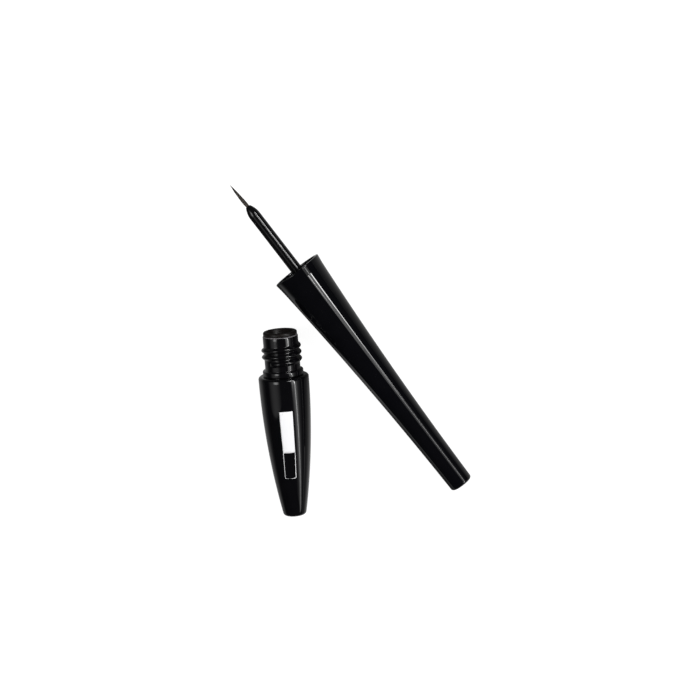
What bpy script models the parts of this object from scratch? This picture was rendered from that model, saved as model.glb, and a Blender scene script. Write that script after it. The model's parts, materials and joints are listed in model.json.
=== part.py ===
"""A dip eyeliner, opened: a barrel bottle with a screw neck, and its applicator laid beside it.

The bottle stands in its own frame with its base at zero and its neck up, and the applicator in one with the
handle's mouth at zero and the brush up. Both are then laid on the table, where they touch it at height zero.
"""

from math import atan, atan2, asin, cos, pi, sin, sqrt, tan

import bmesh
import bpy
from mathutils import Matrix, Vector

MM = 0.001
DEGREE = pi / 180

# Gaps between pieces that seat on each other
SEAT_GAP = 0.15 * MM
SHOULDER_GAP = 0.3 * MM
THREAD_CLEARANCE = 0.2 * MM

# Bottle sleeve: the thick glossy barrel
BODY_HEIGHT = 46.7 * MM
SHOULDER_RADIUS = 8.15 * MM
BASE_RADIUS = 3.66 * MM
SHOULDER_EDGE_ROUND = 0.9 * MM
BASE_EDGE_ROUND = 1.1 * MM
SLEEVE_MOUTH_RADIUS = 6.2 * MM
SLEEVE_MOUTH_ROUND = 0.1 * MM
SLEEVE_FLOOR = 5.0 * MM
SLEEVE_BASE_WALL = 1.0 * MM

# Bottle vial: the inner tube, its collar and its screw neck
NECK_RADIUS = 5.68 * MM
NECK_HEIGHT = 13.1 * MM
NECK_BORE_RADIUS = 4.45 * MM
NECK_RIM_ROUND = 0.25 * MM
COLLAR_RADIUS = 6.55 * MM
COLLAR_HEIGHT = 1.8 * MM
COLLAR_ROUND = 0.6 * MM
VIAL_WALL = 0.8 * MM
VIAL_FLOOR = 1.0 * MM
VIAL_FLOOR_ROUND = 0.6 * MM
VIAL_SHOULDER = 1.2 * MM

# Screw thread, on the neck and in the handle's mouth
THREAD_PITCH = 2.18 * MM
THREAD_HEIGHT = 0.78 * MM
THREAD_WIDTH = 1.8 * MM
THREAD_START = 4.41 * MM
THREAD_START_ANGLE = -125 * DEGREE
THREAD_TURNS = 2.46
MATING_THREAD_HEIGHT = 0.55 * MM
MATING_THREAD_WIDTH = 1.15 * MM
THREAD_FADE_SHARE = 0.065
THREAD_SINK = 0.2 * MM

# Wiper: the soft plug in the neck that strips the brush
WIPER_FLANGE_RADIUS = 5.48 * MM
WIPER_FLANGE_HEIGHT = 1.2 * MM
WIPER_FLANGE_ROUND = 0.4 * MM
WIPER_MOUTH_RADIUS = 4.5 * MM
WIPER_FUNNEL_DEPTH = 1.4 * MM
WIPER_WALL = 0.6 * MM
WIPER_LENGTH = 7.5 * MM
WIPER_CONE_HEIGHT = 2.6 * MM
WIPER_STEM_CLEARANCE = 0.3 * MM

# Mixing ball, loose in the vial
BALL_RADIUS = 1.5 * MM
BALL_END_GAP = 0.3 * MM

# Handle: one hollow moulding that flares from its slim end to its mouth
HANDLE_LENGTH = 87.9 * MM
HANDLE_END_RADIUS = 3.865 * MM
HANDLE_END_TAPER = 0.014
HANDLE_FLARE_RADIUS = 8.2 * MM
HANDLE_MOUTH_RADIUS = 8.35 * MM
HANDLE_MOUTH_LAND = 1.6 * MM
HANDLE_LAND_CHAMFER = 0.25 * MM
HANDLE_LIP_ROUND = 0.3 * MM
HANDLE_END_ROUND = 1.1 * MM
HANDLE_END_WALL = 5.0 * MM
MOUTH_RECESS_RADIUS = 7.3 * MM
MOUTH_RECESS_DEPTH = 2.4 * MM
MOUTH_RECESS_CHAMFER = 0.4 * MM
THREAD_BORE_DEPTH = 11.4 * MM
CORE_RADIUS = 5.0 * MM
CORE_END_RADIUS = 1.9 * MM
SNAP_BEAD_WIDTH = 0.7 * MM
SNAP_BEAD_GRIP = 0.1 * MM

# Stem: rod, sealing flange and the hollow plug that stands in the handle's core
STEM_RADIUS = 1.88 * MM
STEM_ROOT_ROUND = 0.8 * MM
NOSE_LENGTH = 3.8 * MM
NOSE_RADIUS = 0.76 * MM
FLANGE_RADIUS = 5.9 * MM
FLANGE_HEIGHT = 1.3 * MM
FLANGE_ROUND = 0.2 * MM
PLUG_LENGTH = 7.0 * MM
PLUG_WALL = 0.9 * MM
PLUG_ROUND = 0.3 * MM
SOCKET_WALL = 0.14 * MM
SOCKET_DEPTH = 3.0 * MM

# Brush: a pointed tuft of fine hairs, fused at its root
APPLICATOR_REACH = 34.7 * MM
BRUSH_REACH = 9.2 * MM
ROOT_GAP = 0.05 * MM
BRUSH_FLEX_GAP = 0.25 * MM
TUFT_SLICE_HEIGHT = 0.3 * MM
TUFT_SLICE_SINK = 0.15 * MM
HAIR_COUNT = 300
HAIR_RADIUS = 0.019 * MM
HAIR_TIP_SHARE = 0.5
HAIR_EDGE_SHARE = 0.93
OUTER_HAIR_SHARE = 0.6
HEIGHT_SHARES = (0.0, 0.45, 1.0)
SPREAD_SHARES = (1.0, 1.05, 0.3)

# How the two halves lie on the table, seen from above
BOTTLE_REST_STATION = 16.4 * MM
HANDLE_MOUTH_X = 6.75 * MM
HANDLE_MOUTH_Y = 20.6 * MM
APPLICATOR_YAW = 33.3 * DEGREE
OPENED_GAP = 1.6 * MM

# Fineness of the round forms
ROUND_SIDES = 40
STEM_SIDES = 24
BRUSH_SIDES = 16
CORNER_STEPS = 2
BARREL_STEPS = 10
FLARE_STEPS = 10
NOSE_STEPS = 5
RIDGE_STEPS = 4
THREAD_STEPS = 28
BALL_RINGS = 9
HAIR_SIDES = 3
SHARP_ANGLE = 35 * DEGREE
GOLDEN_ANGLE = pi * (3 - sqrt(5))
WELD_DISTANCE = 0.0005 * MM


def clear_scene():
    for left_over in list(bpy.data.objects):
        bpy.data.objects.remove(left_over)


def finish(name, colour, roughness, metallic=0.0):
    """A material with the piece's colour, roughness and metallic value."""
    material = bpy.data.materials.new(name)
    material.use_nodes = True
    shader = material.node_tree.nodes["Principled BSDF"]
    shader.inputs["Base Color"].default_value = (*colour, 1)
    shader.inputs["Roughness"].default_value = roughness
    shader.inputs["Metallic"].default_value = metallic
    material.diffuse_color = (*colour, 1)
    return material


def piece(name, shape, material, parent):
    """Turn a bmesh into a smooth-shaded object under its parent."""
    mesh = bpy.data.meshes.new(name)
    shape.to_mesh(mesh)
    shape.free()
    mesh.shade_smooth()
    mesh.set_sharp_from_angle(angle=SHARP_ANGLE)
    mesh.materials.append(material)
    made = bpy.data.objects.new(name, mesh)
    made.parent = parent
    bpy.context.collection.objects.link(made)
    return made


def empty(name, matrix, parent=None):
    """A guide that pieces hang on; its matrix is given in its parent's frame."""
    made = bpy.data.objects.new(name, None)
    made.parent = parent
    made.matrix_local = matrix
    bpy.context.collection.objects.link(made)
    return made


def join(base, added):
    """Fuse a guide solid to a piece."""
    added.hide_render = True
    added.display_type = "WIRE"
    union = base.modifiers.new(added.name, "BOOLEAN")
    union.operation = "UNION"
    union.object = added


def rounded(corners):
    """An outline of (radius, height) points, from corners that may give a rounding as a third number."""
    outline = []
    for index, corner in enumerate(corners):
        here = Vector(corner[:2])
        rounding = corner[2] if len(corner) == 3 else 0
        if not rounding:
            outline.append(here)
            continue
        before = Vector(corners[index - 1][:2]) - here
        after = Vector(corners[(index + 1) % len(corners)][:2]) - here
        half_angle = before.angle(after) / 2
        reach = min(rounding / tan(half_angle), before.length / 2, after.length / 2)
        before.normalize()
        after.normalize()
        centre = here + (before + after).normalized() * (reach / cos(half_angle))
        first = here + before * reach - centre
        last = here + after * reach - centre
        for step in range(CORNER_STEPS + 1):
            spoke = first.lerp(last, step / CORNER_STEPS).normalized()
            outline.append(centre + spoke * first.length)
    return outline


def turned(name, outline, material, parent, sides=ROUND_SIDES, ring=False):
    """Spin an outline of (radius, height) points once round the local Z axis."""
    shape = bmesh.new()
    points = [shape.verts.new((radius, 0, height)) for radius, height in outline]
    edges = [shape.edges.new(pair) for pair in zip(points, points[1:])]
    if ring:
        edges.append(shape.edges.new((points[-1], points[0])))
    bmesh.ops.spin(shape, geom=points + edges, axis=(0, 0, 1), angle=2 * pi, steps=sides, use_merge=True)
    bmesh.ops.remove_doubles(shape, verts=shape.verts, dist=WELD_DISTANCE)
    bmesh.ops.recalc_face_normals(shape, faces=shape.faces)
    return piece(name, shape, material, parent)


def arc_radius(drop, length):
    """Radius of the arc that leaves a straight side smoothly and drops this far over this length."""
    return (length ** 2 + drop ** 2) / (2 * drop)


def arc_drop(drop, length, along):
    """How far that arc has dropped at a distance along the side."""
    radius = arc_radius(drop, length)
    return radius - sqrt(radius ** 2 - along ** 2)


def share_between(first, last, share):
    return first + (last - first) * share


def barrel_radius(height):
    """Outer radius of the sleeve, which is fullest at its shoulder."""
    return SHOULDER_RADIUS - arc_drop(SHOULDER_RADIUS - BASE_RADIUS, BODY_HEIGHT, BODY_HEIGHT - height)


def sleeve_bore_radius(height):
    """Radius of the sleeve's tapered bore, widest at the shoulder so that the vial drops in."""
    floor_radius = barrel_radius(SLEEVE_FLOOR) - SLEEVE_BASE_WALL
    share = (height - SLEEVE_FLOOR) / (BODY_HEIGHT - SLEEVE_FLOOR)
    return share_between(floor_radius, SLEEVE_MOUTH_RADIUS, share)


def vial_radius(height):
    return sleeve_bore_radius(height) - SEAT_GAP


def chamber_radius(height):
    return vial_radius(height) - VIAL_WALL


def thread_ridge(name, root_radius, rise, width, first_height, last_height, first_angle, material, parent):
    """A right-hand ridge wound up the root cylinder, outward for a positive rise and inward for a negative one.

    Its section is half an ellipse, and it fades into the wall at both ends, where its foot is sunk a little.
    """
    shape = bmesh.new()
    sink = THREAD_SINK if rise > 0 else -THREAD_SINK
    turns = (last_height - first_height) / THREAD_PITCH
    steps = round(turns * THREAD_STEPS)
    sections = []
    for step in range(steps + 1):
        share = step / steps
        fade = min(share, 1 - share, THREAD_FADE_SHARE) / THREAD_FADE_SHARE
        crest = (rise + sink) * sin(fade * pi / 2) ** 0.5 if fade else sink / 2
        angle = first_angle + 2 * pi * turns * share
        height = share_between(first_height, last_height, share)
        section = []
        for point in range(RIDGE_STEPS + 1):
            around = pi * point / RIDGE_STEPS
            radius = root_radius - sink + crest * sin(around)
            place = (radius * cos(angle), radius * sin(angle), height - width / 2 * cos(around))
            section.append(shape.verts.new(place))
        sections.append(section)
    for near, far in zip(sections, sections[1:]):
        for point in range(RIDGE_STEPS + 1):
            after = (point + 1) % (RIDGE_STEPS + 1)
            shape.faces.new((near[point], near[after], far[after], far[point]))
    shape.faces.new(sections[0])
    shape.faces.new(sections[-1])
    bmesh.ops.recalc_face_normals(shape, faces=shape.faces)
    return piece(name, shape, material, parent)


def make_bottle_sleeve(parent, black):
    """The barrel: a thick wall round a tapered bore, closed by a solid base."""
    barrel = [
        (barrel_radius(height), height)
        for height in (BODY_HEIGHT * step / BARREL_STEPS for step in range(1, BARREL_STEPS))
    ]
    corners = [
        (0, 0),
        (BASE_RADIUS, 0, BASE_EDGE_ROUND),
        *barrel,
        (SHOULDER_RADIUS, BODY_HEIGHT, SHOULDER_EDGE_ROUND),
        (SLEEVE_MOUTH_RADIUS, BODY_HEIGHT, SLEEVE_MOUTH_ROUND),
        (sleeve_bore_radius(SLEEVE_FLOOR), SLEEVE_FLOOR, VIAL_FLOOR_ROUND),
        (0, SLEEVE_FLOOR),
    ]
    return turned("bottle_sleeve", rounded(corners), black, parent)


def make_bottle_vial(parent, black):
    """The inner tube: its collar rests on the sleeve's shoulder, and its threaded neck stands above."""
    foot = SLEEVE_FLOOR + SEAT_GAP
    chamber_floor = foot + VIAL_FLOOR
    seat = BODY_HEIGHT + SEAT_GAP
    chamber_top = BODY_HEIGHT - VIAL_SHOULDER
    rim = BODY_HEIGHT + NECK_HEIGHT
    corners = [
        (0, foot),
        (vial_radius(foot), foot, VIAL_FLOOR_ROUND),
        (vial_radius(BODY_HEIGHT), seat),
        (COLLAR_RADIUS, seat, COLLAR_ROUND / 2),
        (COLLAR_RADIUS, seat + COLLAR_HEIGHT, COLLAR_ROUND),
        (NECK_RADIUS, seat + COLLAR_HEIGHT),
        (NECK_RADIUS, rim, NECK_RIM_ROUND),
        (NECK_BORE_RADIUS, rim, NECK_RIM_ROUND),
        (NECK_BORE_RADIUS, BODY_HEIGHT),
        (chamber_radius(chamber_top), chamber_top),
        (chamber_radius(chamber_floor), chamber_floor, VIAL_FLOOR_ROUND),
        (0, chamber_floor),
    ]
    vial = turned("bottle_vial", rounded(corners), black, parent)
    first_height = BODY_HEIGHT + THREAD_START
    last_height = first_height + THREAD_TURNS * THREAD_PITCH
    size = (NECK_RADIUS, THREAD_HEIGHT, THREAD_WIDTH)
    ridge = thread_ridge("neck_thread", *size, first_height, last_height, THREAD_START_ANGLE, black, parent)
    join(vial, ridge)
    return vial


def make_neck_wiper(parent, rubber):
    """The wiper: a flange on the neck's rim, a tube in its bore and a cone that closes round the stem."""
    top = BODY_HEIGHT + NECK_HEIGHT + SEAT_GAP + WIPER_FLANGE_HEIGHT
    under_flange = top - WIPER_FLANGE_HEIGHT
    foot = under_flange - WIPER_LENGTH
    tube_radius = NECK_BORE_RADIUS - SEAT_GAP
    orifice_radius = STEM_RADIUS + WIPER_STEM_CLEARANCE
    corners = [
        (orifice_radius, foot, WIPER_WALL / 4),
        (orifice_radius + WIPER_WALL, foot, WIPER_WALL / 4),
        (tube_radius, foot + WIPER_CONE_HEIGHT),
        (tube_radius, under_flange),
        (WIPER_FLANGE_RADIUS, under_flange, WIPER_FLANGE_ROUND / 2),
        (WIPER_FLANGE_RADIUS, top, WIPER_FLANGE_ROUND),
        (WIPER_MOUTH_RADIUS, top, WIPER_FLANGE_ROUND / 2),
        (tube_radius - WIPER_WALL, top - WIPER_FUNNEL_DEPTH),
        (tube_radius - WIPER_WALL, foot + WIPER_CONE_HEIGHT + WIPER_WALL / 2),
    ]
    return turned("neck_wiper", rounded(corners), rubber, parent, ring=True)


def ball_track_matrix():
    """Frame of the ball at rest: at the base end of the vial's lower wall, with Z along that wall."""
    draft = atan((vial_radius(BODY_HEIGHT) - vial_radius(SLEEVE_FLOOR)) / (BODY_HEIGHT - SLEEVE_FLOOR))
    chamber_floor = SLEEVE_FLOOR + SEAT_GAP + VIAL_FLOOR
    height = chamber_floor + BALL_END_GAP + BALL_RADIUS
    aside = chamber_radius(height) - (BALL_RADIUS + SEAT_GAP) / cos(draft)
    return Matrix.Translation((0, aside, height)) @ Matrix.Rotation(-draft, 4, "X")


def make_mixing_ball(parent, steel):
    shape = bmesh.new()
    bmesh.ops.create_uvsphere(shape, u_segments=2 * BALL_RINGS, v_segments=BALL_RINGS, radius=BALL_RADIUS)
    return piece("mixing_ball", shape, steel, parent)


def handle_radius(depth):
    """Outer radius of the handle: a concave flare, almost straight at the slim end."""
    flare = HANDLE_LENGTH - HANDLE_MOUTH_LAND
    from_end = HANDLE_LENGTH - depth
    bow = (HANDLE_FLARE_RADIUS - HANDLE_END_RADIUS - HANDLE_END_TAPER * flare) / flare ** 2
    return HANDLE_END_RADIUS + HANDLE_END_TAPER * from_end + bow * from_end ** 2


def flange_depth():
    """Depth of the stem's flange in the handle, where it seals on the wiper once the handle is screwed down."""
    return NECK_HEIGHT + WIPER_FLANGE_HEIGHT + 2 * SEAT_GAP - SHOULDER_GAP


def core_radius(depth):
    """Radius of the handle's tapered core."""
    seat = flange_depth() + FLANGE_HEIGHT + SEAT_GAP
    share = (depth - seat) / (HANDLE_LENGTH - HANDLE_END_WALL - seat)
    return share_between(CORE_RADIUS, CORE_END_RADIUS, share)


def thread_bore_radius():
    return NECK_RADIUS + THREAD_HEIGHT + THREAD_CLEARANCE


def handle_outer_corners():
    """The handle's outer side, from its slim end to its mouth."""
    chamfer_depth = HANDLE_MOUTH_LAND + HANDLE_LAND_CHAMFER
    flare = [
        (handle_radius(depth), -depth)
        for depth in (
            share_between(HANDLE_LENGTH, chamfer_depth, step / FLARE_STEPS) for step in range(1, FLARE_STEPS + 1)
        )
    ]
    return [
        (0, -HANDLE_LENGTH),
        (HANDLE_END_RADIUS, -HANDLE_LENGTH, HANDLE_END_ROUND),
        *flare,
        (HANDLE_MOUTH_RADIUS, -HANDLE_MOUTH_LAND),
        (HANDLE_MOUTH_RADIUS, 0, HANDLE_LIP_ROUND),
    ]


def make_handle_shell(parent, black):
    """The handle: threaded at its mouth, with a step and a snap bead that hold the stem's flange."""
    bore = thread_bore_radius()
    pocket = FLANGE_RADIUS + SEAT_GAP
    bead_foot = flange_depth() - SEAT_GAP
    bead_middle = bead_foot - SNAP_BEAD_WIDTH / 2
    bead_top = bead_foot - SNAP_BEAD_WIDTH
    seat = flange_depth() + FLANGE_HEIGHT + SEAT_GAP
    core_end = HANDLE_LENGTH - HANDLE_END_WALL
    corners = [
        *handle_outer_corners(),
        (MOUTH_RECESS_RADIUS, 0, HANDLE_LIP_ROUND),
        (MOUTH_RECESS_RADIUS, -MOUTH_RECESS_DEPTH),
        (bore, -MOUTH_RECESS_DEPTH - MOUTH_RECESS_CHAMFER),
        (bore, -THREAD_BORE_DEPTH),
        (pocket, -THREAD_BORE_DEPTH - MOUTH_RECESS_CHAMFER),
        (pocket, -bead_top),
        (FLANGE_RADIUS - SNAP_BEAD_GRIP, -bead_middle),
        (pocket, -bead_foot),
        (pocket, -seat),
        (core_radius(seat), -seat),
        (core_radius(core_end), -core_end, CORE_END_RADIUS / 2),
        (0, -core_end),
    ]
    handle = turned("handle_shell", rounded(corners), black, parent)
    first_height = -THREAD_BORE_DEPTH + MATING_THREAD_WIDTH
    last_height = -MOUTH_RECESS_DEPTH - MOUTH_RECESS_CHAMFER - MATING_THREAD_WIDTH
    size = (bore, -MATING_THREAD_HEIGHT, MATING_THREAD_WIDTH)
    ridge = thread_ridge("mouth_thread", *size, first_height, last_height, 0, black, parent)
    join(handle, ridge)
    return handle


def nose_height():
    """Height of the stem's end above the handle's mouth."""
    return APPLICATOR_REACH - BRUSH_REACH


def make_stem(parent, black):
    """The stem: a rod with a rounded nose and a brush socket, a sealing flange and a hollow plug."""
    flange_under = -flange_depth()
    flange_top = flange_under - FLANGE_HEIGHT
    plug_end = flange_top - PLUG_LENGTH
    plug_radius = core_radius(-plug_end) - SEAT_GAP
    nose_end = nose_height()
    nose = [
        (STEM_RADIUS - arc_drop(STEM_RADIUS - NOSE_RADIUS, NOSE_LENGTH, along), nose_end - NOSE_LENGTH + along)
        for along in (NOSE_LENGTH * step / NOSE_STEPS for step in range(NOSE_STEPS + 1))
    ]
    corners = [
        (0, flange_top),
        (plug_radius - PLUG_WALL, flange_top),
        (plug_radius - PLUG_WALL, plug_end),
        (plug_radius, plug_end, PLUG_ROUND),
        (plug_radius, flange_top),
        (FLANGE_RADIUS, flange_top, FLANGE_ROUND),
        (FLANGE_RADIUS, flange_under, FLANGE_ROUND),
        (STEM_RADIUS, flange_under, STEM_ROOT_ROUND),
        *nose,
        (NOSE_RADIUS - SOCKET_WALL, nose_end),
        (NOSE_RADIUS - SOCKET_WALL, nose_end - SOCKET_DEPTH),
        (0, nose_end - SOCKET_DEPTH),
    ]
    return turned("stem", rounded(corners), black, parent, sides=STEM_SIDES)


def root_radius():
    return NOSE_RADIUS - SOCKET_WALL - ROOT_GAP


def make_brush_root(parent, amber):
    """The fused root of the tuft, glued in the nose's socket."""
    nose_end = nose_height()
    foot = nose_end - SOCKET_DEPTH + ROOT_GAP
    corners = [
        (0, foot),
        (root_radius(), foot, ROOT_GAP),
        (root_radius(), nose_end, ROOT_GAP),
        (0, nose_end),
    ]
    return turned("brush_root", rounded(corners), amber, parent, sides=BRUSH_SIDES)


def spread_share(height_share):
    """How far the tuft spreads at a share of its height: a slight belly, then a point."""
    steps = zip(HEIGHT_SHARES, HEIGHT_SHARES[1:], SPREAD_SHARES, SPREAD_SHARES[1:])
    for low, high, low_spread, high_spread in steps:
        if height_share <= high:
            return share_between(low_spread, high_spread, (height_share - low) / (high - low))
    return SPREAD_SHARES[-1]


def make_brush_hairs(parent, hair):
    """The tuft: hairs set in a sunflower pattern, each drawn in alike so that none cross, on a fused slice."""
    foot = BRUSH_FLEX_GAP
    hair_foot = foot + TUFT_SLICE_SINK
    reach = BRUSH_REACH - hair_foot
    shape = bmesh.new()
    for number in range(HAIR_COUNT):
        ring_share = sqrt((number + 1 / 2) / HAIR_COUNT)
        angle = number * GOLDEN_ANGLE
        end_share = share_between(1, OUTER_HAIR_SHARE, ring_share ** 2)
        stations = [share for share in HEIGHT_SHARES if share < end_share] + [end_share]
        aside = Vector((cos(angle), sin(angle), 0)) * (root_radius() * HAIR_EDGE_SHARE * ring_share)
        sections = []
        for station in stations:
            spread = spread_share(station)
            thickness = HAIR_RADIUS * spread * share_between(1, HAIR_TIP_SHARE, station / end_share)
            centre = aside * spread + Vector((0, 0, hair_foot + reach * station))
            section = []
            for side in range(HAIR_SIDES):
                around = angle + 2 * pi * side / HAIR_SIDES
                spoke = Vector((cos(around), sin(around), 0))
                section.append(shape.verts.new(centre + spoke * thickness))
            sections.append(section)
        for near, far in zip(sections, sections[1:]):
            for side in range(HAIR_SIDES):
                after = (side + 1) % HAIR_SIDES
                shape.faces.new((near[side], near[after], far[after], far[side]))
        shape.faces.new(reversed(sections[0]))
        shape.faces.new(sections[-1])
    strands = piece("hair_strands", shape, hair, parent)
    corners = [
        (0, foot),
        (root_radius(), foot, ROOT_GAP),
        (root_radius(), foot + TUFT_SLICE_HEIGHT, ROOT_GAP),
        (0, foot + TUFT_SLICE_HEIGHT),
    ]
    tuft = turned("brush_hairs", rounded(corners), hair, parent, sides=BRUSH_SIDES)
    join(tuft, strands)
    return tuft


def laid(yaw, pitch, x, y):
    """Frame of a piece that lies on the table, its own Z axis turned by yaw from Y and raised by pitch."""
    return Matrix.Translation((x, y, 0)) @ Matrix.Rotation(yaw, 4, "Z") @ Matrix.Rotation(pitch - pi / 2, 4, "X")


def bottle_pitch():
    """Lean of the barrel when it touches the table under its centre of mass."""
    return asin(BOTTLE_REST_STATION / arc_radius(SHOULDER_RADIUS - BASE_RADIUS, BODY_HEIGHT))


def applicator_pitch():
    """Lean of the handle when it lies on the land at its mouth and on its slim end."""
    ending = rounded(handle_outer_corners())[1 : CORNER_STEPS + 2]
    return min(
        atan2(HANDLE_MOUTH_RADIUS - radius, -HANDLE_MOUTH_LAND - height) for radius, height in ending
    )


def lower_to_table(frame, touching):
    """Move a frame down until the lowest point of a piece is on the table."""
    bpy.context.view_layer.update()
    frame.location.z -= min((touching.matrix_world @ vertex.co).z for vertex in touching.data.vertices)
    bpy.context.view_layer.update()


def along(frame, height):
    """World place on a frame's own Z axis."""
    return frame.matrix_world @ Vector((0, 0, height))


def swing_matrix(bottle, applicator):
    """Frame on the upright line about which the applicator turns on the table, until its brush meets the neck."""
    neck_top = BODY_HEIGHT + NECK_HEIGHT + SEAT_GAP + WIPER_FLANGE_HEIGHT
    tip = along(applicator, APPLICATOR_REACH)
    goal = along(bottle, neck_top + OPENED_GAP)
    turn = pi - APPLICATOR_YAW
    way = goal - tip
    centre = (tip + goal) / 2 + Vector((-way.y, way.x, 0)) / (2 * tan(turn / 2))
    return Matrix.Translation((centre.x, centre.y, 0))


def centre_on_table(frames):
    """Put the middle of the whole part's outline at the origin."""
    bpy.context.view_layer.update()
    graph = bpy.context.evaluated_depsgraph_get()
    places = []
    for made in bpy.context.scene.objects:
        if made.type == "MESH" and not made.hide_render:
            seen = made.evaluated_get(graph)
            places += [seen.matrix_world @ vertex.co for vertex in seen.data.vertices]
    for axis in (0, 1):
        low = min(place[axis] for place in places)
        high = max(place[axis] for place in places)
        for frame in frames:
            frame.location[axis] -= (low + high) / 2


def build():
    clear_scene()
    body_black = finish("gloss_black_body", (0.012, 0.012, 0.014), 0.08)
    neck_black = finish("gloss_black_neck", (0.012, 0.012, 0.014), 0.12)
    wiper_brown = finish("dark_wiper", (0.03, 0.025, 0.022), 0.45)
    ball_steel = finish("bright_steel", (0.6, 0.6, 0.6), 0.15, metallic=1.0)
    handle_black = finish("gloss_black_handle", (0.01, 0.01, 0.012), 0.06)
    stem_black = finish("satin_black_stem", (0.013, 0.013, 0.014), 0.25)
    root_amber = finish("fused_root", (0.05, 0.035, 0.025), 0.5)
    hair_brown = finish("brown_hair", (0.06, 0.045, 0.035), 0.6)

    bottle = empty("bottle_frame", laid(0, bottle_pitch(), 0, 0))
    sleeve = make_bottle_sleeve(bottle, body_black)
    make_bottle_vial(bottle, neck_black)
    make_neck_wiper(bottle, wiper_brown)
    track = empty("ball_track", ball_track_matrix(), bottle)
    make_mixing_ball(track, ball_steel)
    lower_to_table(bottle, sleeve)

    neck = along(bottle, BODY_HEIGHT + NECK_HEIGHT)
    place = laid(APPLICATOR_YAW, applicator_pitch(), neck.x + HANDLE_MOUTH_X, neck.y + HANDLE_MOUTH_Y)
    applicator = empty("applicator_frame", place)
    handle = make_handle_shell(applicator, handle_black)
    make_stem(applicator, stem_black)
    make_brush_root(applicator, root_amber)
    brush_pivot = empty("brush_pivot", Matrix.Translation((0, 0, nose_height())), applicator)
    make_brush_hairs(brush_pivot, hair_brown)
    lower_to_table(applicator, handle)

    swing = swing_matrix(bottle, applicator)
    pivot = empty("applicator_pivot", swing)
    applicator_place = applicator.matrix_world.copy()
    applicator.parent = pivot
    applicator.matrix_local = swing.inverted() @ applicator_place
    centre_on_table([bottle, pivot])


build()
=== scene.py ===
import bmesh
import bpy
import json
from math import cos, pi, radians, sin, sqrt, tan
from mathutils import Matrix, Vector


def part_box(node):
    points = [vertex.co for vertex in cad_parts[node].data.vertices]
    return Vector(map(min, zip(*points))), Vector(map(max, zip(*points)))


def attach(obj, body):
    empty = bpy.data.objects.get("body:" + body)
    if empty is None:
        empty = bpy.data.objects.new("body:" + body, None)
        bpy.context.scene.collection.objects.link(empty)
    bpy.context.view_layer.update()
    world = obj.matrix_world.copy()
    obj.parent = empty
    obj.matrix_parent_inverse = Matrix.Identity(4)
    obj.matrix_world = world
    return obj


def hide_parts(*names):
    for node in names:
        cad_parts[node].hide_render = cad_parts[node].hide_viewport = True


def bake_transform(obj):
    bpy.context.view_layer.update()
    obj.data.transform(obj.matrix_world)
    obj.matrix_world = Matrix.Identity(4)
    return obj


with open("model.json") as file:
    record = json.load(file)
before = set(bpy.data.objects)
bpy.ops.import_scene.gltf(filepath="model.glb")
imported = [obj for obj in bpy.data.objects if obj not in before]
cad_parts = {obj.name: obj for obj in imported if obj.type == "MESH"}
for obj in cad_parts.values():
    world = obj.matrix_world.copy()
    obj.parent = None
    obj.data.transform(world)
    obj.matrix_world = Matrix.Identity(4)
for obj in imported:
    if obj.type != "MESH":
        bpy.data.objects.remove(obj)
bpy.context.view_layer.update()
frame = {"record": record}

MILLIMETRE = 0.001
MICROMETRE = 0.000001
ON_AXIS = 1e-6
SHADING_WEIGHT = 60
mounts = {mount["name"]: mount for mount in frame["record"]["mounts"]}


def span(first, last, steps):
    """Even stations from first to last, both ends included."""
    return [first + (last - first) * step / steps for step in range(steps + 1)]


def matrix_of(origin, *axes):
    """Matrix of a frame that has these three axes and stands at an origin."""
    return Matrix.Translation(origin) @ Matrix(axes).transposed().to_4x4()


def standing_on(mount, lift=0.0):
    """Frame of a piece that stands on a mount: its Z axis points up from the mount, its origin is lifted."""
    upward = -Vector(mount["axis"]).normalized()
    across = upward.cross(Vector((0, 0, 1))).normalized()
    origin = Vector(mount["pos_m"]) + upward * lift
    return matrix_of(origin, across, upward.cross(across), upward)


def rounded(corners, steps=6):
    """An outline of (radius, height) points in mm, from corners that may give a rounding as a third number."""
    outline = []
    for index, corner in enumerate(corners):
        here = Vector(corner[:2])
        rounding = corner[2] if len(corner) == 3 else 0
        if not rounding:
            outline.append(here)
            continue
        before = Vector(corners[index - 1][:2]) - here
        after = Vector(corners[(index + 1) % len(corners)][:2]) - here
        half_angle = before.angle(after) / 2
        reach = min(rounding / tan(half_angle), before.length / 2, after.length / 2)
        before.normalize()
        after.normalize()
        centre = here + (before + after).normalized() * (reach / cos(half_angle))
        first = here + before * reach - centre
        last = here + after * reach - centre
        for share in span(0, 1, steps):
            spoke = first.lerp(last, share).normalized()
            outline.append(centre + spoke * first.length)
    return outline


def finished(name, shape):
    """The mesh of a finished shape, which isn't needed after it."""
    mesh = bpy.data.meshes.new(name)
    shape.to_mesh(mesh)
    shape.free()
    return mesh


def turned(name, outline, sides=160, swell=None, ring=False):
    """Mesh of an outline of (radius, height) points in mm, turned round the Z axis.

    swell(index, angle, height) may give how far a point stands out from the round, in mm. A ring's outline
    goes all the way round its section.
    """
    shape = bmesh.new()
    rows = []
    for index, (radius, height) in enumerate(outline):
        if radius < ON_AXIS:
            rows.append([shape.verts.new((0, 0, height * MILLIMETRE))] * sides)
            continue
        row = []
        for side in range(sides):
            angle = 2 * pi * side / sides
            out = radius + (swell(index, angle, height) if swell else 0)
            point = Vector((out * cos(angle), out * sin(angle), height))
            row.append(shape.verts.new(point * MILLIMETRE))
        rows.append(row)
    pairs = list(zip(rows, rows[1:]))
    if ring:
        pairs.append((rows[-1], rows[0]))
    for near, far in pairs:
        for side in range(sides):
            after = (side + 1) % sides
            corners = [near[side], near[after], far[after], far[side]]
            shape.faces.new(list(dict.fromkeys(corners)))
    bmesh.ops.recalc_face_normals(shape, faces=shape.faces)
    return finished(name, shape)


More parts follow.
